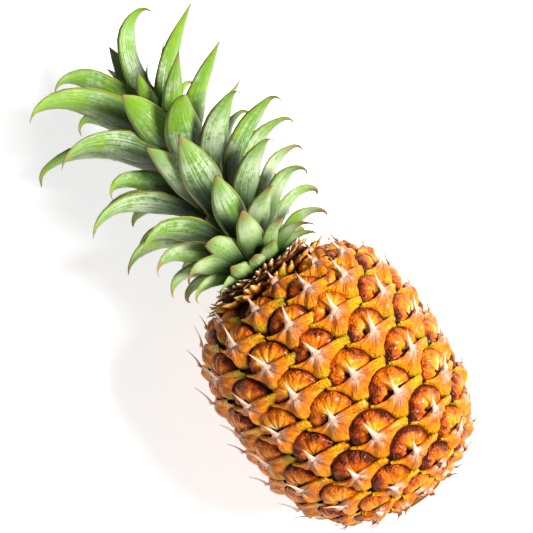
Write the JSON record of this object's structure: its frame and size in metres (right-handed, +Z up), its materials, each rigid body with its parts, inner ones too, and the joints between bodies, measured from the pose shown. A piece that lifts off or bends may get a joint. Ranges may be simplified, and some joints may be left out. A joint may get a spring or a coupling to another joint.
{
  "type": "pineapple",
  "caption": "Whole ripe pineapple lying on its side: barrel-shaped fruit with domed eyes, bracts and papery spines, a collar of dry bracts, and a leafy crown.",
  "frame": {"origin": "on the surface it rests on, below the centre of the whole pineapple's box", "axes": "+X along the pineapple from the stem end to the crown, +Z up, so +Y is to the left when looking from the stem end to the crown"},
  "size_m": [0.2878, 0.137, 0.1236],
  "materials": {
    "fruit_rind": "waxy orange and yellow rind, browner at the edges of the eyes, with pale papery spines",
    "crown_leaf": "satin green leaf with a whitish bloom underneath and dry brown tips",
    "dry_bract": "dry, papery and brown",
    "cut_stem_fibre": "dry cut fibres, matt"
  },
  "bodies": {
    "root": {"fruit": "fruit_rind", "crown": "crown_leaf", "neck_bracts": "dry_bract", "cut_stem": "cut_stem_fibre"}
  },
  "joints": []
}
